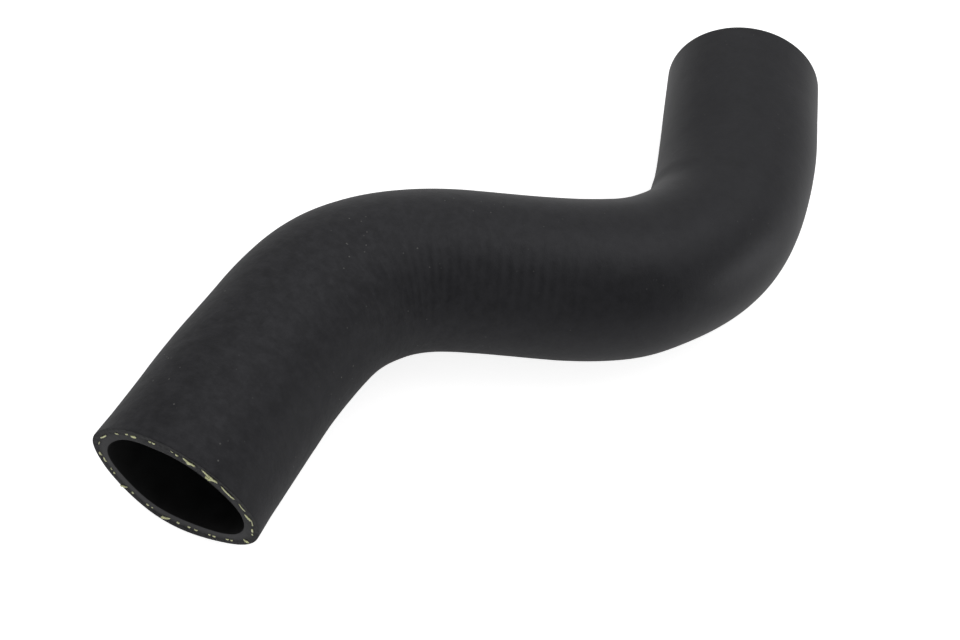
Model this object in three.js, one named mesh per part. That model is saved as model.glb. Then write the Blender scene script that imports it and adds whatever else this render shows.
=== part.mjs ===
// Charge air hose of an engine bay: one moulded rubber hose with an S-bend and a flared outlet.
// Millimetres, +Z up. The hose lies level, with its inlet leg along +Y, its first bend towards +X
// and its second bend back again. The origin is under the middle of it, on the surface it lies on.

import * as THREE from 'three';
import { mergeVertices } from 'three/addons/utils/BufferGeometryUtils.js';

// Section of the hose. The wall is the same all along, and the bore opens towards the outlet.
const inletBore = 42;
const outletBore = 45.2;
const wall = 5;
const flareLength = 100;

// Centreline, from the inlet cut to the outlet cut. Angles are in degrees. A bend tightens from
// straight to its radius over its entry ease, and opens again over its exit ease.
const inletLeg = 33;
const inletBendAngle = 63;
const inletBendRadius = 45;
const inletBendEntryEase = 63;
const inletBendExitEase = 35;
const middleLeg = 17;
const outletBendAngle = 78.5;
const outletBendRadius = 59.5;
const outletBendEntryEase = 27;
const outletBendExitEase = 39;
const outletLeg = 29;

// The outlet is cut a little off square, shorter on the side of +X.
const outletCutAngle = 5.6;

// Fineness of the facets: flats around the hose, and the distance between its rings.
const facetsAround = 44;
const ringSpacing = 5.5;
const centrelineStep = 0.25;

const rubberColour = 0x333335;
const rubberRoughness = 0.62;

// A bend whose curvature rises evenly over its entry ease, holds at the radius and falls evenly
// over its exit ease. Each ease turns half of what the same length at the radius would. Where the
// eases alone turn the whole angle, nothing is held, and the bend opens before it is that tight.
class EasedBend {
  constructor(angle, radius, entryEase, exitEase) {
    const turn = THREE.MathUtils.degToRad(angle);
    const turnedInEases = (entryEase + exitEase) / 2;
    const held = Math.max(radius * Math.abs(turn) - turnedInEases, 0);
    this.entryEase = entryEase;
    this.exitEase = exitEase;
    this.length = entryEase + held + exitEase;
    this.tightest = turn / (turnedInEases + held);
  }

  curvatureAt(distance) {
    const tightening = distance / this.entryEase;
    const opening = (this.length - distance) / this.exitEase;
    return this.tightest * THREE.MathUtils.clamp(Math.min(tightening, opening), 0, 1);
  }
}

// A straight stretch is a bend that doesn't turn.
class StraightLeg {
  constructor(length) {
    this.length = length;
  }

  curvatureAt() {
    return 0;
  }
}

// The level curve through the middle of the hose. Its heading is the sum of its curvature, and its
// place the sum of its heading, both walked in short steps. A positive angle turns towards +X.
class HoseCentreline extends THREE.Curve {
  constructor(stretches) {
    super();
    this.stretches = stretches;
    this.length = stretches.reduce((sum, stretch) => sum + stretch.length, 0);
    this.steps = Math.ceil(this.length / centrelineStep);
    this.walk();
  }

  curvatureAt(distance) {
    let start = 0;
    for (const stretch of this.stretches) {
      if (distance <= start + stretch.length) {
        return stretch.curvatureAt(distance - start);
      }
      start += stretch.length;
    }
    return 0;
  }

  walk() {
    const step = this.length / this.steps;
    const place = new THREE.Vector3();
    let heading = 0;
    this.places = [place.clone()];
    this.headings = [heading];
    for (let i = 0; i < this.steps; i += 1) {
      const turn = this.curvatureAt((i + 0.5) * step) * step;
      const midway = heading + turn / 2;
      place.x += Math.sin(midway) * step;
      place.y += Math.cos(midway) * step;
      heading += turn;
      this.places.push(place.clone());
      this.headings.push(heading);
    }
  }

  // The two walked points around a share of the length, and how far it lies from one to the other.
  between(share) {
    const along = THREE.MathUtils.clamp(share, 0, 1) * this.steps;
    const before = Math.min(Math.floor(along), this.steps - 1);
    return [before, before + 1, along - before];
  }

  getPoint(share, target = new THREE.Vector3()) {
    const [before, after, part] = this.between(share);
    return target.lerpVectors(this.places[before], this.places[after], part);
  }

  headingAt(share) {
    const [before, after, part] = this.between(share);
    return THREE.MathUtils.lerp(this.headings[before], this.headings[after], part);
  }
}

function boreRadiusAt(distance, hoseLength) {
  const flare = THREE.MathUtils.smoothstep(distance, hoseLength - flareLength, hoseLength);
  return THREE.MathUtils.lerp(inletBore, outletBore, flare) / 2;
}

// The wall cut lengthwise: out along the outer face, across the outlet cut, back along the bore.
function wallProfile(hoseLength) {
  const rings = Math.ceil(hoseLength / ringSpacing);
  const outerFace = [];
  const boreFace = [];
  for (let i = 0; i <= rings; i += 1) {
    const distance = (hoseLength * i) / rings;
    const boreRadius = boreRadiusAt(distance, hoseLength);
    outerFace.push(new THREE.Vector2(boreRadius + wall, distance));
    boreFace.unshift(new THREE.Vector2(boreRadius, distance));
  }
  return [...outerFace, ...boreFace, outerFace[0].clone()];
}

// The straight hose, turned about its own axis with both ends cut square.
function straightHose(hoseLength) {
  const geometry = new THREE.LatheGeometry(wallProfile(hoseLength), facetsAround);
  geometry.deleteAttribute('normal');
  geometry.deleteAttribute('uv');
  return mergeVertices(geometry, 1e-3);
}

// How far a point moves along the hose for the outlet cut to lean: the rings of the outlet leg lean
// more and more towards it.
function leanOfRing(onStraight, hoseLength) {
  const intoLeg = THREE.MathUtils.clamp(1 - (hoseLength - onStraight.y) / outletLeg, 0, 1);
  return -onStraight.x * Math.tan(THREE.MathUtils.degToRad(outletCutAngle)) * intoLeg;
}

// Lays the straight hose along the centreline, as it is pushed on its curved mandrel: each ring
// keeps its shape, and up to the outlet leg it stays square to the curve.
function layAlong(geometry, centreline) {
  const position = geometry.getAttribute('position');
  const onStraight = new THREE.Vector3();
  const forwards = new THREE.Vector3();
  const sideways = new THREE.Vector3();
  const placed = new THREE.Vector3();
  for (let i = 0; i < position.count; i += 1) {
    onStraight.fromBufferAttribute(position, i);
    const share = onStraight.y / centreline.length;
    const heading = centreline.headingAt(share);
    forwards.set(Math.sin(heading), Math.cos(heading), 0);
    sideways.set(Math.cos(heading), -Math.sin(heading), 0);
    centreline.getPoint(share, placed);
    placed.addScaledVector(sideways, onStraight.x);
    placed.addScaledVector(forwards, leanOfRing(onStraight, centreline.length));
    placed.z += onStraight.z;
    position.setXYZ(i, placed.x, placed.y, placed.z);
  }
  geometry.computeVertexNormals();
  return geometry;
}

// Sets the mesh down with its lowest point at height zero and the middle of its box over the origin.
function layOnSurface(mesh) {
  mesh.geometry.computeBoundingBox();
  const { min, max } = mesh.geometry.boundingBox;
  mesh.position.set(-(min.x + max.x) / 2, -(min.y + max.y) / 2, -min.z);
}

const centreline = new HoseCentreline([
  new StraightLeg(inletLeg),
  new EasedBend(inletBendAngle, inletBendRadius, inletBendEntryEase, inletBendExitEase),
  new StraightLeg(middleLeg),
  new EasedBend(-outletBendAngle, outletBendRadius, outletBendEntryEase, outletBendExitEase),
  new StraightLeg(outletLeg),
]);

const rubber = new THREE.MeshStandardMaterial({
  color: rubberColour,
  roughness: rubberRoughness,
  metalness: 0,
});

const hose = new THREE.Mesh(layAlong(straightHose(centreline.length), centreline), rubber);
hose.name = 'hose';
layOnSurface(hose);

const chargeAirHose = new THREE.Group();
chargeAirHose.add(hose);

export default chargeAirHose;
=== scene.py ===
"""Charge air hose: a moulded rubber hose with an S-bend, lying on a white table."""

import math

import bpy
import numpy as np
from mathutils import Matrix


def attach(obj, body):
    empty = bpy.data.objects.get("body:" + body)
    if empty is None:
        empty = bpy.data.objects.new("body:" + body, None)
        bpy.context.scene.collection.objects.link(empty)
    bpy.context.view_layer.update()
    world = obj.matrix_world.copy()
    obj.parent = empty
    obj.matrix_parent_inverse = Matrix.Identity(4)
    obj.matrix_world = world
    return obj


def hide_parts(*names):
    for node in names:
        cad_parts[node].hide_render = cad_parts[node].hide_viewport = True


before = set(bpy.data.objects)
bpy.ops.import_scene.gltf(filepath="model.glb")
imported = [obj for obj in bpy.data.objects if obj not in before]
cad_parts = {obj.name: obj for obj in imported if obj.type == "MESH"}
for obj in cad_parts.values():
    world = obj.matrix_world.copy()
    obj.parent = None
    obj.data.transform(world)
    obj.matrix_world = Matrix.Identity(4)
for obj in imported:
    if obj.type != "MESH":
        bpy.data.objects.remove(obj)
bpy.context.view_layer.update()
scene = bpy.context.scene


# Camera
# The hose lies with its S level, so the camera looks down on it and is rolled a little
# to bring back the slant at which the photograph shows it. 45 mm lens, 36 mm sensor.

lens_place = (0.03668862, -0.23545493, 0.34098193)
view_right = (0.88646, 0.43004, 0.17107)
view_up = (-0.45063, 0.71774, 0.53084)
view_back = (0.10550, -0.54765, 0.83003)

camera_data = bpy.data.cameras.new("camera")
camera_data.lens = 45.0
camera_data.sensor_width = 36.0
camera_data.sensor_fit = "HORIZONTAL"
camera_data.clip_start = 0.01
camera_data.clip_end = 50.0
camera = bpy.data.objects.new("camera", camera_data)
camera.matrix_world = Matrix(
    [
        (view_right[0], view_up[0], view_back[0], lens_place[0]),
        (view_right[1], view_up[1], view_back[1], lens_place[1]),
        (view_right[2], view_up[2], view_back[2], lens_place[2]),
        (0.0, 0.0, 0.0, 1.0),
    ]
)
scene.collection.objects.link(camera)
scene.camera = camera


# Table and studio
# A white table, seen a little brighter than it is lit so that it reads as plain white
# and still keeps the hose's soft shadow. The walls are white to the eye, and gloss sees
# them dim in front and brighter behind. Five broad soft lamps stand round the table.

table_half = 3.0
table_white = 0.80
table_lift = 0.78
table_in_gloss = 0.14
studio_white = 0.45
backdrop_in_gloss = 0.60
room_in_gloss = 0.17
room_front = -0.2
room_back = 0.6

scene.view_settings.view_transform = "Standard"

table_mesh = bpy.data.meshes.new("table")
table_mesh.from_pydata(
    [
        (-table_half, -table_half, 0.0),
        (table_half, -table_half, 0.0),
        (table_half, table_half, 0.0),
        (-table_half, table_half, 0.0),
    ],
    [],
    [(0, 1, 2, 3)],
)
table = bpy.data.objects.new("table", table_mesh)
scene.collection.objects.link(table)

table_paint = bpy.data.materials.new("white_table")
table_paint.use_nodes = True
nodes, links = table_paint.node_tree.nodes, table_paint.node_tree.links
nodes.clear()
matt_white = nodes.new("ShaderNodeBsdfDiffuse")
matt_white.inputs["Color"].default_value = (table_white, table_white, table_white, 1.0)
lift = nodes.new("ShaderNodeEmission")
lift.inputs["Color"].default_value = (1.0, 1.0, 1.0, 1.0)
seen = nodes.new("ShaderNodeLightPath")
lift_in_gloss = nodes.new("ShaderNodeMath")
lift_in_gloss.operation = "MULTIPLY"
lift_in_gloss.inputs[1].default_value = table_in_gloss
links.new(seen.outputs["Is Glossy Ray"], lift_in_gloss.inputs[0])
lift_seen = nodes.new("ShaderNodeMath")
lift_seen.operation = "MULTIPLY_ADD"
lift_seen.inputs[1].default_value = table_lift
links.new(seen.outputs["Is Camera Ray"], lift_seen.inputs[0])
links.new(lift_in_gloss.outputs[0], lift_seen.inputs[2])
links.new(lift_seen.outputs[0], lift.inputs["Strength"])
both = nodes.new("ShaderNodeAddShader")
table_out = nodes.new("ShaderNodeOutputMaterial")
links.new(matt_white.outputs[0], both.inputs[0])
links.new(lift.outputs[0], both.inputs[1])
links.new(both.outputs[0], table_out.inputs["Surface"])
table_mesh.materials.append(table_paint)

studio = bpy.data.worlds.new("studio")
studio.use_nodes = True
scene.world = studio
nodes, links = studio.node_tree.nodes, studio.node_tree.links
nodes.clear()
towards = nodes.new("ShaderNodeSeparateXYZ")
links.new(nodes.new("ShaderNodeTexCoord").outputs["Generated"], towards.inputs[0])
behind = nodes.new("ShaderNodeMapRange")
behind.inputs["From Min"].default_value = room_front
behind.inputs["From Max"].default_value = room_back
behind.inputs["To Min"].default_value = room_in_gloss
behind.inputs["To Max"].default_value = backdrop_in_gloss
links.new(towards.outputs["Y"], behind.inputs["Value"])
seen = nodes.new("ShaderNodeLightPath")
wall_light = nodes.new("ShaderNodeMix")
wall_light.inputs["A"].default_value = studio_white
links.new(seen.outputs["Is Glossy Ray"], wall_light.inputs["Factor"])
links.new(behind.outputs["Result"], wall_light.inputs["B"])
wall_seen = nodes.new("ShaderNodeMath")
wall_seen.operation = "MAXIMUM"
links.new(seen.outputs["Is Camera Ray"], wall_seen.inputs[0])
links.new(wall_light.outputs["Result"], wall_seen.inputs[1])
walls = nodes.new("ShaderNodeBackground")
walls.inputs["Color"].default_value = (1.0, 1.0, 1.0, 1.0)
links.new(wall_seen.outputs[0], walls.inputs["Strength"])
world_out = nodes.new("ShaderNodeOutputWorld")
links.new(walls.outputs[0], world_out.inputs["Surface"])


def softbox(name, place, width, height, watts, gloss=1.0):
    """A rectangular area lamp at `place` that faces the origin: its axes are the way out
    from the origin, the level direction across that, and the cross product of the two.
    `gloss` is how much of the lamp shows in glossy surfaces."""
    data = bpy.data.lights.new(name, "AREA")
    data.shape = "RECTANGLE"
    data.size = width
    data.size_y = height
    data.energy = watts
    data.specular_factor = gloss
    away = np.array(place) / np.linalg.norm(place)
    side = np.cross((0.0, 0.0, 1.0), away)
    side /= np.linalg.norm(side)
    turn = np.column_stack((side, np.cross(away, side), away))
    lamp = bpy.data.objects.new(name, data)
    lamp.matrix_world = Matrix.Translation(place) @ Matrix(turn.tolist()).to_4x4()
    scene.collection.objects.link(lamp)


softbox("light_high", (-0.30, 0.22, 0.95), 0.8, 0.8, 1.5)
softbox("light_overhead", (0.20, 0.20, 0.65), 0.4, 0.4, 0.55)
softbox("light_behind", (-0.60, 0.55, 0.45), 0.6, 0.6, 0.16)
softbox("light_right", (1.10, 0.30, 0.18), 0.5, 0.4, 1.30)
softbox("light_front", (0.20, -0.90, 0.50), 0.9, 0.6, 0.56, gloss=0.0)


# Hose
# One moulding: a rubber tube, a knitted ply and a rubber cover, built up on a bent
# mandrel, cured together and cut to length with a knife at both ends.

inlet_bore = 0.0420
outlet_bore = 0.0452
wall = 0.0050
flare_length = 0.100
inlet_centre = (-0.05152463531, -0.12396220398, 0.0276)
inlet_leg = 0.033
middle_leg = 0.017
outlet_leg = 0.029
bends = (
    {"angle": math.radians(63.0), "radius": 0.0450, "entry": 0.063, "exit": 0.035},
    {"angle": math.radians(-78.5), "radius": 0.0595, "entry": 0.027, "exit": 0.039},
)
outlet_cut_lean = math.radians(5.6)
outlet_cut_overhang = 0.0013
outer_radius = inlet_bore / 2 + wall
course_spacing = 0.0033
ply_depth = 0.00185

cut_edge_round = 0.00028
rings_outside = 486
rings_across_cut = 15
rings_inside = 122
points_around = 150


def bend_shape(bend):
    """Length of a bend and its tightest curvature. The curvature rises evenly over the
    entry ease, holds at 1 / radius, and falls evenly over the exit ease."""
    eased = (bend["entry"] + bend["exit"]) / 2
    held = max(bend["radius"] * abs(bend["angle"]) - eased, 0.0)
    return bend["entry"] + held + bend["exit"], bend["angle"] / (eased + held)


first_length, first_curvature = bend_shape(bends[0])
second_length, second_curvature = bend_shape(bends[1])
first_start = inlet_leg
first_end = first_start + first_length
second_start = first_end + middle_leg
second_end = second_start + second_length
hose_length = second_end + outlet_leg


def curvature(along):
    """Curvature of the centreline: each bend's rise, hold and fall, and 0 in the legs."""
    into_first = along - first_start
    into_second = along - second_start
    first = np.minimum(
        into_first / bends[0]["entry"], (first_length - into_first) / bends[0]["exit"]
    )
    second = np.minimum(
        into_second / bends[1]["entry"], (second_length - into_second) / bends[1]["exit"]
    )
    return first_curvature * np.clip(first, 0, 1) + second_curvature * np.clip(second, 0, 1)


# The heading is the running sum of the curvature, and the place is the running sum of
# the heading's direction, in steps of 0.05 mm taken at their middles.
walk_steps = 5840
step = hose_length / walk_steps
walk_along = np.arange(walk_steps + 1) * step
turns = curvature((np.arange(walk_steps) + 0.5) * step) * step
walk_heading = np.concatenate(([0.0], np.cumsum(turns)))
mid_heading = walk_heading[:-1] + turns / 2
walk_x = np.concatenate(([0.0], np.cumsum(np.sin(mid_heading) * step))) + inlet_centre[0]
walk_y = np.concatenate(([0.0], np.cumsum(np.cos(mid_heading) * step))) + inlet_centre[1]


def smooth(x):
    """0 below 0, 1 above 1, and 3x² - 2x³ between them."""
    x = np.clip(x, 0, 1)
    return x * x * (3 - 2 * x)


def bore_radius(along):
    """Half the bore: constant, then opened smoothly over the flare at the outlet."""
    opened = smooth((along - (hose_length - flare_length)) / flare_length)
    return (inlet_bore + (outlet_bore - inlet_bore) * opened) / 2


def on_hose(along, around, radius):
    """Points of the hose. A point stands off the centreline by `radius`, at the angle
    `around` from straight up towards the right-hand side; the sections of the outlet leg
    lean step by step, sideways and a little forwards at the top, until the last one has
    the lean of the outlet cut. Past either cut the hose carries straight on."""
    heading = np.interp(along, walk_along, walk_heading)
    right = radius * np.sin(around)
    lean = np.clip(1 - (hose_length - along) / outlet_leg, 0, 1)
    forward = -right * math.tan(outlet_cut_lean) * lean
    upward = 0.5 + 0.5 * radius * np.cos(around) / (outlet_bore / 2 + wall)
    forward = forward + outlet_cut_overhang * upward**2 * lean
    forward = forward + np.minimum(along, 0) + np.maximum(along - hose_length, 0)
    x = np.interp(along, walk_along, walk_x)
    y = np.interp(along, walk_along, walk_y)
    x = x + right * np.cos(heading) + forward * np.sin(heading)
    y = y - right * np.sin(heading) + forward * np.cos(heading)
    z = inlet_centre[2] + radius * np.cos(around)
    return np.stack(np.broadcast_arrays(x, y, z), axis=-1)


def wander(along, around, cell, cells_around, seed):
    """Smooth random heights from -1 to 1. One random number stands at each corner of a
    lattice of `cell` metres by `cells_around` a turn, and the four corners round a point
    are blended by smooth steps, so the pattern closes on itself round the hose."""
    rows = 512
    heights = np.random.default_rng(seed).uniform(-1, 1, (rows, cells_around))
    row = along / cell + 40
    column = np.mod(around / (2 * math.pi), 1.0) * cells_around
    row_0 = np.floor(row).astype(int)
    column_0 = np.floor(column).astype(int)
    t, u = smooth(row - row_0), smooth(column - column_0)
    row_0, row_1 = np.mod(row_0, rows), np.mod(row_0 + 1, rows)
    column_0, column_1 = np.mod(column_0, cells_around), np.mod(column_0 + 1, cells_around)
    near = heights[row_0, column_0] * (1 - u) + heights[row_0, column_1] * u
    far = heights[row_1, column_0] * (1 - u) + heights[row_1, column_1] * u
    return near * (1 - t) + far * t


def hump(x, middle, half_width):
    """1 at the middle, falling to 0 at a half-width either side along a raised cosine."""
    return 0.5 + 0.5 * np.cos(math.pi * np.clip((x - middle) / half_width, -1, 1))


def side_hump(around, angle, half_width):
    """A hump round the hose, with its middle and half-width in degrees from the top."""
    away = np.mod(around - math.radians(angle) + math.pi, 2 * math.pi) - math.pi
    return hump(away, 0.0, math.radians(half_width))


# How far the inlet's rim stands off a true round, in mm, every 30 degrees from the top
# towards the right-hand side: first its outer edge, then the edge of the bore. Then how
# far the same two edges stand out of a square cut, because the knife wandered.
rim_outside = (-0.17, -0.19, -0.10, 0.24, -0.09, -0.17, 0.22, 0.31, 0.10, 0.31, -0.13, -0.20)
rim_bore = (-0.24, -0.27, -0.15, 0.58, 0.00, -0.52, -0.19, 0.12, 0.12, 0.74, 0.16, -0.19)
cut_outside = (0.30, 0.30, 0.12, -0.08, -0.05, -0.01, 0.82, 0.74, 0.27, 0.15, 0.12, 0.30)
cut_bore = (0.39, 0.37, 0.01, -0.22, 0.04, -0.34, -0.17, 0.17, 0.08, 0.31, -0.16, 0.20)


def through_readings(around, readings):
    """The smoothest closed curve through evenly spaced readings: the sum of the sine and
    cosine waves, up to half as many as there are readings, that passes through them."""
    waves = np.fft.rfft(readings) / len(readings)
    height = waves[0].real + 0 * around
    for order in range(1, len(waves)):
        weight = 1 if 2 * order == len(readings) else 2
        height = height + weight * (
            waves[order].real * np.cos(order * around)
            - waves[order].imag * np.sin(order * around)
        )
    return height


# Tighter pinches in the same rim: angle from the top and half-width in degrees, then how
# far each pushes out the outer edge and the edge of the bore, in mm.
rim_pinches = (
    (-80, 20, 0.26, 0.12),
    (-106, 20, -0.24, -0.12),
    (105, 22, 0.04, 0.14),
    (142, 32, -0.10, -0.20),
)


def out_of_round(along, around, share):
    """How far the rim at the inlet is pressed out of round: the curve through the
    readings plus the pinches, each a raised cosine round the rim. It fades within 9 mm on
    the outside and within 30 mm in the bore, and `share` of the wall's depth goes from
    the first to the second."""
    outside = through_readings(around, rim_outside)
    inside = through_readings(around, rim_bore)
    for angle, half_width, push_outside, push_bore in rim_pinches:
        pinch = side_hump(around, angle, half_width)
        outside = outside + push_outside * pinch
        inside = inside + push_bore * pinch
    outside = outside * (1 - smooth(along / 0.009))
    inside = inside * (1 - smooth(along / 0.030))
    return 0.001 * ((1 - share) * outside + share * inside)


def inlet_cut(around, share):
    """How far the inlet's cut stands out of square: the readings of its outer edge and
    of the bore's edge, blended by `share` of the wall's depth."""
    outside = through_readings(around, cut_outside)
    inside = through_readings(around, cut_bore)
    return 0.001 * ((1 - share) * outside + share * inside)


# Where the hose isn't quite true to its nominal section: the place along it, how far
# that reaches either way, its angle from the top, and its height. Metres and degrees.
swellings = (
    (0.0280, 0.016, -70, 0.00018),
    (0.0500, 0.014, -68, -0.00032),
    (0.0600, 0.024, 105, 0.00048),
    (0.0790, 0.027, -61, 0.00105),
    (0.0790, 0.014, -61, 0.00016),
    (0.0920, 0.024, 114, 0.00048),
    (0.1600, 0.032, 120, 0.00042),
    (0.1670, 0.028, -52, 0.00050),
    (0.1720, 0.016, -53, 0.00014),
    (0.1780, 0.013, 117, 0.00022),
    (0.1920, 0.014, 110, -0.00025),
    (0.2090, 0.019, -72, -0.00075),
    (0.2150, 0.016, 92, 0.00025),
    (0.2180, 0.011, -80, -0.00050),
    (0.2520, 0.040, -98, 0.00060),
    (0.2570, 0.022, 69, 0.00065),
    (0.2780, 0.026, 70, 0.00022),
    (0.2900, 0.030, -98, 0.00026),
)


def swell(along, around):
    """A slight widening to both sides, by the square of the sine of the angle, plus the
    sum of the swellings: each is a raised cosine along the hose times one round it, 75
    degrees to either side of its middle."""
    height = 0.00018 * np.sin(around) ** 2 + 0 * along
    for place, reach, angle, tall in swellings:
        height = height + tall * hump(along, place, reach) * side_hump(around, angle, 75)
    return height


def cover_relief(along, around):
    """Height of the cover over its true radius, summed in mm: long shallow waves left by
    the wrapping, a fine unevenness everywhere, sine ripples right of the top where the
    ply's courses print through the middle run, and less three shallow tucks on the inner
    side of the second bend. It is a little less all over, and more so along the bottom,
    where the hose rests on the table."""
    waves = 0.06 * wander(along, around, 0.030, 5, 3) + 0.04 * wander(along, around, 0.011, 12, 4)
    fine = 0.022 * wander(along, around, 0.0042, 36, 5)
    shift = 1.3 * wander(along, around, 0.020, 8, 6)
    course = np.sin(2 * math.pi * (along / course_spacing + 0.06 * np.sin(around)) + shift)
    patchy = 0.55 + 0.45 * wander(along, around, 0.012, 9, 7)
    run = smooth((along - 0.080) / 0.020) * (1 - smooth((along - 0.140) / 0.035))
    front = hump(np.mod(around, 2 * math.pi), math.radians(42), math.radians(50))
    courses = 0.007 * course * patchy * run * front
    tucks = side_hump(around, -90, math.degrees(0.75)) * sum(
        depth * hump(along, place, width)
        for place, width, depth in (
            (0.2020, 0.0026, 0.04),
            (0.2075, 0.0022, 0.05),
            (0.2125, 0.0030, 0.03),
        )
    )
    height = waves + fine + courses - tucks
    resting = side_hump(around, 180, 70)
    return 0.001 * height - 0.00002 - 0.00010 * resting


# The skin runs outside from the inlet to the outlet, over the outlet's cut, back along
# the bore, and over the inlet's cut to where it began: one closed ring of sections.
edge_bend = np.linspace(0, math.pi / 2, 4)[1:-1]
across_cut = np.linspace(0, 1, rings_across_cut)
outside_along = np.linspace(cut_edge_round, hose_length - cut_edge_round, rings_outside)
inside_along = np.linspace(hose_length - cut_edge_round, cut_edge_round, rings_inside)

ring_along = np.concatenate(
    (
        outside_along,
        hose_length - cut_edge_round * (1 - np.sin(edge_bend)),
        np.full(rings_across_cut, hose_length),
        hose_length - cut_edge_round * (1 - np.cos(edge_bend)),
        inside_along,
        cut_edge_round * (1 - np.sin(edge_bend)),
        np.zeros(rings_across_cut),
        cut_edge_round * (1 - np.cos(edge_bend)),
    )
)
face_depth = cut_edge_round + across_cut * (wall - 2 * cut_edge_round)
edge_out = cut_edge_round * (1 - np.cos(edge_bend))
edge_in = wall - cut_edge_round * (1 - np.sin(edge_bend))
ring_depth = np.concatenate(
    (
        np.zeros(rings_outside),
        edge_out,
        face_depth,
        edge_in,
        np.full(rings_inside, wall),
        wall - edge_out,
        face_depth[::-1],
        wall - edge_in,
    )
)
corner = len(edge_bend)
is_outside = np.zeros(len(ring_along), bool)
is_outside[: rings_outside + 1] = True
is_outside[-1] = True
cut_start = rings_outside + corner
is_bore = np.zeros(len(ring_along), bool)
bore_start = cut_start + rings_across_cut + corner
is_bore[bore_start - 1 : bore_start + rings_inside + 1] = True
is_cut = ~(is_outside | is_bore)

along = ring_along[:, None]
depth = ring_depth[:, None]
around = (np.arange(points_around) / points_around * 2 * math.pi)[None, :]

outer_height = cover_relief(along, around)
inner_height = 0.00012 * wander(along, around, 0.024, 6, 11)
share = depth / wall
true_radius = bore_radius(along) + wall - depth
radius = true_radius + (1 - share) * (outer_height + swell(along, around))
radius = radius + share * inner_height + out_of_round(along, around, share)

# The knife leaves the cut slightly wavy, with a shallow groove where the ply is.
groove = hump(depth, ply_depth, 0.0007)
knife_wave = 0.00010 * wander(depth, around, 0.0022, 22, 12) + 0.00007 * np.sin(3 * around)
cut_sink = is_cut[:, None] * (0.00012 + 0.00016 * groove + knife_wave)
stands_out = inlet_cut(around, share) * (1 - smooth(along / 0.012))
sunk_along = along - stands_out + np.where(along < hose_length / 2, cut_sink, -cut_sink)
skin_points = on_hose(sunk_along, around + 0 * along, radius)

ring_count = len(ring_along)
ring = np.arange(ring_count)[:, None]
point = np.arange(points_around)[None, :]
next_ring = (ring + 1) % ring_count
next_point = (point + 1) % points_around
corners = (
    ring * points_around + point,
    next_ring * points_around + point,
    next_ring * points_around + next_point,
    ring * points_around + next_point,
)
skin_faces = np.stack(np.broadcast_arrays(*corners), axis=-1).reshape(-1, 4)


def mesh_from_quads(name, points, quads):
    """A mesh from an array of points and an array of four-cornered faces."""
    mesh = bpy.data.meshes.new(name)
    mesh.vertices.add(len(points))
    mesh.vertices.foreach_set("co", points.astype(np.float32).ravel())
    mesh.loops.add(quads.size)
    mesh.loops.foreach_set("vertex_index", quads.astype(np.int32).ravel())
    mesh.polygons.add(len(quads))
    mesh.polygons.foreach_set("loop_start", np.arange(0, quads.size, 4, dtype=np.int32))
    mesh.update(calc_edges=True)
    mesh.validate()
    mesh.polygons.foreach_set("use_smooth", np.ones(len(quads), bool))
    return mesh


skin_mesh = mesh_from_quads("hose_skin", skin_points.reshape(-1, 3), skin_faces[:, ::-1])
face_kind = np.where(is_cut, 1, np.where(is_bore, 2, 0))
face_kind = np.where(is_cut | np.roll(is_cut, -1), 1, face_kind)
skin_mesh.polygons.foreach_set(
    "material_index", np.repeat(face_kind, points_around).astype(np.int32)
)

# The skin's own map runs along the hose and round it, in metres, so that wrinkles can
# follow the hose through its bends; on the cuts it runs from the outer edge inwards.
map_along = np.concatenate((ring_along + ring_depth, [ring_along[0] + ring_depth[0]]))
map_round = np.arange(points_around + 1) / points_around * 2 * math.pi * outer_radius
map_depth = np.concatenate((ring_depth, [ring_depth[0]]))
face_u = np.stack((map_along[:-1], map_along[1:], map_along[1:], map_along[:-1]), -1)
cut_u = np.stack((map_depth[:-1], map_depth[1:], map_depth[1:], map_depth[:-1]), -1)
grid_u = np.where((face_kind == 1)[:, None], cut_u, face_u)
grid_v = np.stack((map_round[:-1], map_round[:-1], map_round[1:], map_round[1:]), -1)
loop_u = np.repeat(grid_u[:, None, :], points_around, axis=1).reshape(-1, 4)[:, ::-1]
loop_v = np.repeat(grid_v[None, :, :], ring_count, axis=0).reshape(-1, 4)[:, ::-1]
skin_map = skin_mesh.uv_layers.new(name="along_and_round")
skin_map.data.foreach_set("uv", np.stack((loop_u, loop_v), -1).astype(np.float32).ravel())

hose_skin = bpy.data.objects.new("hose_skin", skin_mesh)
scene.collection.objects.link(hose_skin)


def rubber_nodes(name):
    """A new material with its Principled shader, and its node and link lists."""
    material = bpy.data.materials.new(name)
    material.use_nodes = True
    tree = material.node_tree
    return material, tree.nodes, tree.links, tree.nodes["Principled BSDF"]


def noise(nodes, links, place, scale, detail, roughness):
    """A noise texture of `scale` features a metre at the coordinates `place`."""
    texture = nodes.new("ShaderNodeTexNoise")
    texture.inputs["Scale"].default_value = scale
    texture.inputs["Detail"].default_value = detail
    texture.inputs["Roughness"].default_value = roughness
    links.new(place, texture.inputs["Vector"])
    return texture.outputs["Fac"]


def remap(nodes, links, value, low, high, to_low, to_high):
    """Stretches `value` from low..high to to_low..to_high, held at both ends."""
    stretch = nodes.new("ShaderNodeMapRange")
    stretch.inputs["From Min"].default_value = low
    stretch.inputs["From Max"].default_value = high
    stretch.inputs["To Min"].default_value = to_low
    stretch.inputs["To Max"].default_value = to_high
    links.new(value, stretch.inputs["Value"])
    return stretch.outputs["Result"]


def times(nodes, links, value, *shares):
    """`value` multiplied by each of `shares` in turn."""
    for share_of in shares:
        product = nodes.new("ShaderNodeMath")
        product.operation = "MULTIPLY"
        links.new(value, product.inputs[0])
        links.new(share_of, product.inputs[1])
        value = product.outputs[0]
    return value


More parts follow.
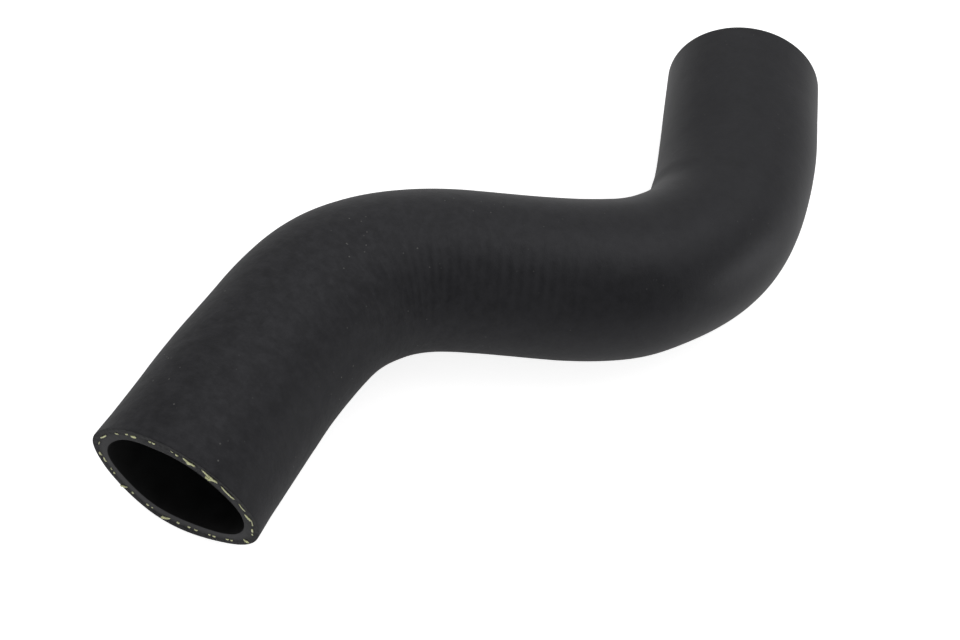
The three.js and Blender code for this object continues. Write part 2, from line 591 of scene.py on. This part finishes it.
def stretched(nodes, links, place, scale):
    """`place` times `scale`, which makes a pattern longer one way than the other."""
    mapping = nodes.new("ShaderNodeMapping")
    mapping.inputs["Scale"].default_value = scale
    links.new(place, mapping.inputs["Vector"])
    return mapping.outputs["Vector"]


def skin_place(nodes, links):
    """The skin's own map: the place on it, then that place's two parts by themselves."""
    own_map = nodes.new("ShaderNodeUVMap")
    own_map.uv_map = "along_and_round"
    parts = nodes.new("ShaderNodeSeparateXYZ")
    links.new(own_map.outputs["UV"], parts.inputs[0])
    return own_map.outputs["UV"], parts.outputs["X"], parts.outputs["Y"]


def blend_colours(nodes, links, amount, first, second):
    """A colour between `first` and `second`; either may be a socket."""
    mix = nodes.new("ShaderNodeMix")
    mix.data_type = "RGBA"
    links.new(amount, mix.inputs["Factor"])
    for socket, colour in ((mix.inputs["A"], first), (mix.inputs["B"], second)):
        if isinstance(colour, tuple):
            socket.default_value = (*colour, 1.0)
        else:
            links.new(colour, socket)
    return mix.outputs["Result"]


def bump(nodes, links, height, strength, distance, under=None):
    """Tilts the surface by `height`, on top of the bump `under` if there is one."""
    tilt = nodes.new("ShaderNodeBump")
    tilt.inputs["Strength"].default_value = strength
    tilt.inputs["Distance"].default_value = distance
    links.new(height, tilt.inputs["Height"])
    if under is not None:
        links.new(under, tilt.inputs["Normal"])
    return tilt.outputs["Normal"]


# Cover rubber: charcoal, satin, mottled by bloom and handling, with a few pale specks of dust
# pressed into it. The clouds and creases are strongest towards the inlet, which has been
# handled most. The blurred print of the ply's courses on the middle run is painted light and
# shade in pale stripes, and the inlet leg's right-hand side carries painted shade.
bloom_dark = (0.0090, 0.0090, 0.0108)
bloom_pale = (0.0135, 0.0135, 0.0157)
cloud_pale = (0.0205, 0.0205, 0.0233)
crease_dark = (0.0062, 0.0062, 0.0077)
mottle_pale = (0.0160, 0.0160, 0.0184)
# The colour below is painted shade for the inlet leg's right-hand side.
leg_painted_shade_colour = (0.0060, 0.0060, 0.0075)
# The colour below is painted light on the crests of the courses' ripples.
course_painted_light = (0.0250, 0.0250, 0.0280)
dust_pale = (0.10, 0.10, 0.095)

cover, nodes, links, shader = rubber_nodes("cover_rubber")
place = nodes.new("ShaderNodeTexCoord").outputs["Object"]
on_skin, along_run, round_run = skin_place(nodes, links)
worked = remap(nodes, links, along_run, 0.075, 0.190, 1, 0.25)
wrinkle_place = stretched(nodes, links, on_skin, (330, 200, 1))
wrinkle = noise(nodes, links, wrinkle_place, 1.0, 4, 0.6)

bloom = remap(nodes, links, noise(nodes, links, place, 95, 4, 0.6), 0.35, 0.65, 0, 1)
shade = blend_colours(nodes, links, bloom, bloom_dark, bloom_pale)
cloud = remap(nodes, links, noise(nodes, links, place, 300, 4, 0.6), 0.38, 0.62, 0, 1)
shade = blend_colours(nodes, links, times(nodes, links, cloud, worked), shade, cloud_pale)
streak = remap(nodes, links, wrinkle, 0.44, 0.64, 0, 0.75)
shade = blend_colours(nodes, links, times(nodes, links, streak, worked), shade, crease_dark)
mottle = remap(nodes, links, noise(nodes, links, place, 1100, 2, 0.5), 0.42, 0.62, 0, 0.25)
shade = blend_colours(nodes, links, mottle, shade, mottle_pale)

# Painted shade: the inlet leg is darker on its right-hand side, from the cut into the first bend,
# the side turned from the light.
leg_end = remap(nodes, links, along_run, 0.060, 0.110, 0.55, 0)
leg_top = remap(nodes, links, round_run, 0.006, 0.022, 0, 1)
leg_bottom = remap(nodes, links, round_run, 0.055, 0.075, 1, 0)
leg_painted_shade = times(nodes, links, leg_end, leg_top, leg_bottom)
shade = blend_colours(nodes, links, leg_painted_shade, shade, leg_painted_shade_colour)

# Courses: a wave repeats every 0.314 of its place, so 94 to a metre gives the 3.3 mm of
# the courses. Their pale stripes are painted light and shade, standing in for the shading of
# the ripples, in patches on the upper front of the middle run.
course = nodes.new("ShaderNodeTexWave")
course.inputs["Scale"].default_value = 1.0
course.inputs["Distortion"].default_value = 1.0
course.inputs["Detail"].default_value = 1.0
course.inputs["Detail Scale"].default_value = 0.7
links.new(stretched(nodes, links, on_skin, (94, 22, 1)), course.inputs["Vector"])
begins = remap(nodes, links, along_run, 0.080, 0.100, 0, 1)
ends = remap(nodes, links, along_run, 0.140, 0.175, 1, 0)
patch = remap(nodes, links, noise(nodes, links, place, 60, 2, 0.5), 0.42, 0.58, 0.28, 0.46)
front_top = remap(nodes, links, round_run, 0.002, 0.012, 0, 1)
front_bottom = remap(nodes, links, round_run, 0.018, 0.032, 1, 0)
course_painted_shading = times(
    nodes, links, course.outputs["Fac"], begins, ends, patch, front_top, front_bottom
)
shade = blend_colours(nodes, links, course_painted_shading, shade, course_painted_light)

speck = nodes.new("ShaderNodeTexVoronoi")
speck.inputs["Scale"].default_value = 400
links.new(place, speck.inputs["Vector"])
is_speck = remap(nodes, links, speck.outputs["Distance"], 0.06, 0.12, 1, 0)
rare = remap(nodes, links, noise(nodes, links, place, 61, 2, 0.5), 0.53, 0.60, 0, 1)
shade = blend_colours(nodes, links, times(nodes, links, is_speck, rare, worked), shade, dust_pale)

links.new(shade, shader.inputs["Base Color"])
links.new(remap(nodes, links, worked, 0.25, 1, 0.45, 0.56), shader.inputs["Roughness"])
shader.inputs["Specular IOR Level"].default_value = 0.345
shader.inputs["Specular Tint"].default_value = (0.96, 0.96, 1.0, 1.0)
grain = noise(nodes, links, place, 2600, 2, 0.6)
tilt = bump(nodes, links, grain, 0.35, 0.00006)
tilt = bump(nodes, links, times(nodes, links, wrinkle, worked), 0.70, 0.00032, tilt)
links.new(tilt, shader.inputs["Normal"])

# Cut rubber: duller, because the knife tears its surface into a fine nap. The lining
# inside the ply is paler than the cover outside it, and paler still below, a little left
# of the bottom.
cut_dark = (0.030, 0.030, 0.032)
lining_pale = (0.078, 0.078, 0.081)
nap_pale = (0.080, 0.080, 0.083)
paler_below_middle = 0.090

cut, nodes, links, shader = rubber_nodes("cut_rubber")
place = nodes.new("ShaderNodeTexCoord").outputs["Object"]
on_skin, inwards, round_cut = skin_place(nodes, links)
lining = remap(nodes, links, inwards, 0.0018, 0.0034, 0, 1)
from_middle = nodes.new("ShaderNodeMath")
from_middle.operation = "SUBTRACT"
links.new(round_cut, from_middle.inputs[0])
from_middle.inputs[1].default_value = paler_below_middle
apart = nodes.new("ShaderNodeMath")
apart.operation = "ABSOLUTE"
links.new(from_middle.outputs[0], apart.inputs[0])
paler_below = remap(nodes, links, apart.outputs[0], 0.030, 0.062, 1, 0.15)
tone = blend_colours(nodes, links, times(nodes, links, lining, paler_below), cut_dark, lining_pale)
nap = remap(nodes, links, noise(nodes, links, place, 900, 4, 0.65), 0.40, 0.70, 0, 0.6)
shade = blend_colours(nodes, links, nap, tone, nap_pale)
links.new(shade, shader.inputs["Base Color"])
shader.inputs["Roughness"].default_value = 0.8
shader.inputs["Specular IOR Level"].default_value = 0.3
tilt = bump(nodes, links, nap, 0.5, 0.00012)
links.new(tilt, shader.inputs["Normal"])

# Bore rubber: smooth from the mandrel and very dark.
bore_dark = (0.0040, 0.0040, 0.0042)
bore_pale = (0.0068, 0.0068, 0.0070)

bore, nodes, links, shader = rubber_nodes("bore_rubber")
place = nodes.new("ShaderNodeTexCoord").outputs["Object"]
film = remap(nodes, links, noise(nodes, links, place, 130, 3, 0.5), 0.35, 0.65, 0, 1)
shade = blend_colours(nodes, links, film, bore_dark, bore_pale)
links.new(shade, shader.inputs["Base Color"])
links.new(remap(nodes, links, film, 0, 1, 0.55, 0.7), shader.inputs["Roughness"])
shader.inputs["Specular IOR Level"].default_value = 0.3
tilt = bump(nodes, links, noise(nodes, links, place, 1400, 2, 0.5), 0.3, 0.00005)
links.new(tilt, shader.inputs["Normal"])

for rubber in (cover, cut, bore):
    skin_mesh.materials.append(rubber)
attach(hose_skin, "root")
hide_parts("hose")


# Ply yarns at the inlet
# The knife cuts the knitted ply across, so its yarns show as a broken ring of pale
# yellow dots, laid-over loops and a few frayed tufts in the cut face.

# Each yarn runs from one point of the cut face to another: angle from the top in
# degrees and radius in mm for both, then its thickness in mm and how far it frays.
inlet_yarns = (
    (-73.4, 24.6, -63.2, 23.9, 0.42, 0.1),
    (-84.6, 24.6, -79.7, 24.4, 0.20, 0.0),
    (-95.8, 24.8, -98.9, 24.4, 0.55, 0.1),
    (-100.9, 24.0, -106.9, 23.9, 0.42, 0.1),
    (-114.1, 23.9, -116.6, 23.8, 0.28, 0.0),
    (-118.9, 24.0, -121.0, 24.0, 0.38, 0.0),
    (-135.9, 24.0, -133.1, 25.8, 0.62, 0.8),
    (-140.5, 24.1, -142.4, 24.1, 0.45, 0.0),
    (-153.6, 23.7, -156.0, 23.7, 0.45, 0.0),
    (-157.7, 23.5, -159.3, 23.3, 0.28, 0.0),
    (-173.7, 23.3, -167.4, 24.6, 0.60, 0.7),
    (-178.8, 23.3, 178.9, 23.4, 0.48, 0.0),
    (172.4, 23.1, 170.1, 23.1, 0.45, 0.0),
    (167.0, 23.2, 164.2, 23.2, 0.40, 0.1),
    (154.6, 23.2, 152.9, 23.2, 0.42, 0.0),
    (150.8, 23.3, 148.2, 23.3, 0.45, 0.1),
    (137.3, 23.3, 134.2, 23.4, 0.36, 0.2),
    (132.4, 23.6, 130.4, 23.7, 0.40, 0.0),
    (114.7, 23.8, 113.3, 25.3, 0.45, 0.9),
    (96.4, 24.4, 98.3, 24.7, 0.36, 0.2),
    (89.0, 24.2, 93.5, 24.4, 0.52, 0.1),
    (69.5, 23.2, 77.2, 24.5, 0.55, 0.3),
    (57.1, 23.9, 65.8, 24.1, 0.26, 0.2),
    (38.2, 23.8, 52.5, 23.7, 0.46, 0.2),
    (21.6, 24.2, 35.0, 23.9, 0.50, 0.5),
    (7.8, 23.9, 17.5, 23.6, 0.50, 0.5),
    (2.8, 23.6, 4.9, 23.5, 0.45, 0.0),
    (-0.8, 23.9, 1.4, 23.8, 0.18, 0.0),
    (-14.5, 23.7, -12.0, 23.7, 0.40, 0.0),
    (-17.1, 23.7, -15.0, 23.7, 0.36, 0.0),
    (-33.1, 23.3, -27.6, 23.5, 0.58, 0.2),
    (-38.0, 23.7, -34.6, 23.9, 0.34, 0.1),
    (-49.7, 23.8, -46.6, 23.4, 0.34, 0.3),
    (17.5, 23.8, 11.2, 22.9, 0.26, 1.2),
    (34.2, 23.7, 26.5, 22.4, 0.30, 1.3),
    (32.8, 23.4, 28.9, 21.9, 0.24, 1.2),
    (76.6, 24.6, 83.9, 24.5, 0.22, 0.3),
)
strands = 7
strand_steps = 9
strand_sides = 6


def ply_yarns(name, rows, end_along, outwards, seed):
    """Yarns laid in the cut face at `end_along`. Each is a bundle of strands that wind
    round its line; along it the line rises out of the cut like half a sine wave, its
    strands spread towards the far end by its fray, and each strand is a tapering tube
    that closes to a point at both ends. At the inlet the line follows the wandering cut."""
    random = np.random.default_rng(seed)
    table = np.array(rows, float)
    count = len(table)
    t = np.linspace(0, 1, strand_steps)[None, None, :]
    angle_0, angle_1 = np.radians(table[:, 0]), np.radians(table[:, 2])
    swing = np.mod(angle_1 - angle_0 + math.pi, 2 * math.pi) - math.pi
    angle = angle_0[:, None, None] + swing[:, None, None] * t
    reach = table[:, 1][:, None, None] * (1 - t) + table[:, 3][:, None, None] * t
    thick = table[:, 4][:, None, None]
    fray = table[:, 5][:, None, None]
    length = 23.5 * np.abs(swing) + np.abs(table[:, 3] - table[:, 1])
    length = length[:, None, None]
    phase = 2 * math.pi * np.arange(strands)[None, :, None] / strands
    wind = phase + 2.2 * math.pi * t * np.clip(length / 2.5, 0, 2.5)
    spread = thick * (0.30 + fray * t * t * random.uniform(0.2, 1.5, (count, strands, 1)))
    bow = random.uniform(-0.12, 0.12, (count, 1, 1)) * length * np.sin(math.pi * t)
    middle = (np.arange(strands) > 0)[None, :, None]
    reach = reach + bow * 0.35 + middle * spread * np.cos(wind)
    angle = angle + middle * 0.35 * spread * np.sin(wind) / 24
    rise = (0.10 + 0.22 * thick) * np.sin(math.pi * (0.08 + 0.84 * t))
    rise = rise + middle * 0.45 * spread * np.sin(wind)
    rise = rise + fray * 0.35 * t * random.uniform(-0.2, 1.0, (count, strands, 1))
    reach, angle, rise = np.broadcast_arrays(reach, angle, rise)
    along_line = end_along + outwards * (0.001 * rise - 0.00022)
    if end_along == 0.0:
        along_line = along_line - inlet_cut(angle, (outer_radius - 0.001 * reach) / wall)
    line = on_hose(along_line, angle, 0.001 * reach)

    ahead = np.gradient(line, axis=2)
    ahead /= np.linalg.norm(ahead, axis=-1, keepdims=True) + 1e-12
    heading = np.interp(end_along, walk_along, walk_heading)
    out = outwards * np.array((math.sin(heading), math.cos(heading), 0.0))
    side = np.cross(ahead, out)
    side /= np.linalg.norm(side, axis=-1, keepdims=True) + 1e-9
    over = np.cross(side, ahead)
    tube = 0.001 * thick * 0.29 * np.sqrt(np.clip(1 - (2 * t - 1) ** 4, 0.0, 1)) + 0 * rise
    turn = (np.arange(strand_sides) / strand_sides * 2 * math.pi)[None, None, None, :, None]
    inner = slice(1, strand_steps - 1)
    ring_points = (
        line[:, :, inner, None, :]
        + tube[:, :, inner, None, None]
        * (side[:, :, inner, None, :] * np.cos(turn) + over[:, :, inner, None, :] * np.sin(turn))
    )
    rings = strand_steps - 2
    tubes = count * strands
    ring_points = ring_points.reshape(tubes, rings * strand_sides, 3)
    tips = np.stack((line[:, :, 0], line[:, :, -1]), axis=2).reshape(tubes, 2, 3)
    points = np.concatenate((ring_points, tips), axis=1)
    per_tube = rings * strand_sides + 2

    i = np.arange(rings - 1)[:, None] * strand_sides
    j = np.arange(strand_sides)[None, :]
    k = (j + 1) % strand_sides
    body = np.stack(
        np.broadcast_arrays(i + j, i + k, i + strand_sides + k, i + strand_sides + j), -1
    ).reshape(-1, 4)
    first_tip, last_tip = rings * strand_sides, rings * strand_sides + 1
    last = (rings - 1) * strand_sides
    j, k = j[0], k[0]
    start_cap = np.stack((np.full(strand_sides, first_tip), k, j), -1)
    end_cap = np.stack((np.full(strand_sides, last_tip), last + j, last + k), -1)
    base = np.arange(tubes)[:, None, None] * per_tube
    quads = (base + body[None]).reshape(-1, 4)
    caps = (base + np.concatenate((start_cap, end_cap))[None]).reshape(-1, 3)
    mesh = bpy.data.meshes.new(name)
    mesh.from_pydata(points.reshape(-1, 3).tolist(), [], quads.tolist() + caps.tolist())
    mesh.validate()
    mesh.polygons.foreach_set("use_smooth", np.ones(len(mesh.polygons), bool))
    mesh.update()
    piece = bpy.data.objects.new(name, mesh)
    scene.collection.objects.link(piece)
    return piece


inlet_ply = ply_yarns("inlet_ply_yarns", inlet_yarns, 0.0, -1.0, 21)

# Yarn: spun fibre, pale yellow, soiled with rubber here and there.
yarn_shade = (0.92, 0.94, 0.46)
yarn_light = (0.97, 0.99, 0.68)
yarn_soiled = (0.12, 0.10, 0.05)

yarn, nodes, links, shader = rubber_nodes("ply_yarn")
place = nodes.new("ShaderNodeTexCoord").outputs["Object"]
fibre = remap(nodes, links, noise(nodes, links, place, 3200, 3, 0.6), 0.35, 0.65, 0, 1)
shade = blend_colours(nodes, links, fibre, yarn_shade, yarn_light)
soil = remap(nodes, links, noise(nodes, links, place, 700, 3, 0.6), 0.60, 0.74, 0, 0.4)
shade = blend_colours(nodes, links, soil, shade, yarn_soiled)
links.new(shade, shader.inputs["Base Color"])
shader.inputs["Roughness"].default_value = 0.85
shader.inputs["Specular IOR Level"].default_value = 0.25
shader.inputs["Sheen Weight"].default_value = 0.40
tilt = bump(nodes, links, fibre, 0.4, 0.00003)
links.new(tilt, shader.inputs["Normal"])

inlet_ply.data.materials.append(yarn)
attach(inlet_ply, "root")


# Ply yarns at the outlet
# The same knitted ply, cut across at the flared end; the yarns come at the knit's own
# spacing, mostly as dots, some as short loops.

outlet_random = np.random.default_rng(31)
outlet_count = 36
outlet_angle = np.arange(outlet_count) * 360 / outlet_count
outlet_angle = outlet_angle + outlet_random.uniform(-2.5, 2.5, outlet_count)
outlet_span = 1.6 + 7.5 * outlet_random.uniform(0, 1, outlet_count) ** 3
outlet_radius = 25.75 + outlet_random.uniform(-0.2, 0.2, outlet_count)
outlet_yarns = np.column_stack(
    (
        outlet_angle,
        outlet_radius,
        outlet_angle + outlet_span,
        outlet_radius + outlet_random.uniform(-0.25, 0.25, outlet_count),
        outlet_random.uniform(0.30, 0.55, outlet_count),
        0.5 * outlet_random.uniform(0, 1, outlet_count) ** 3,
    )
)
outlet_ply = ply_yarns("outlet_ply_yarns", outlet_yarns, hose_length, 1.0, 22)
outlet_ply.data.materials.append(yarn)
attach(outlet_ply, "root")
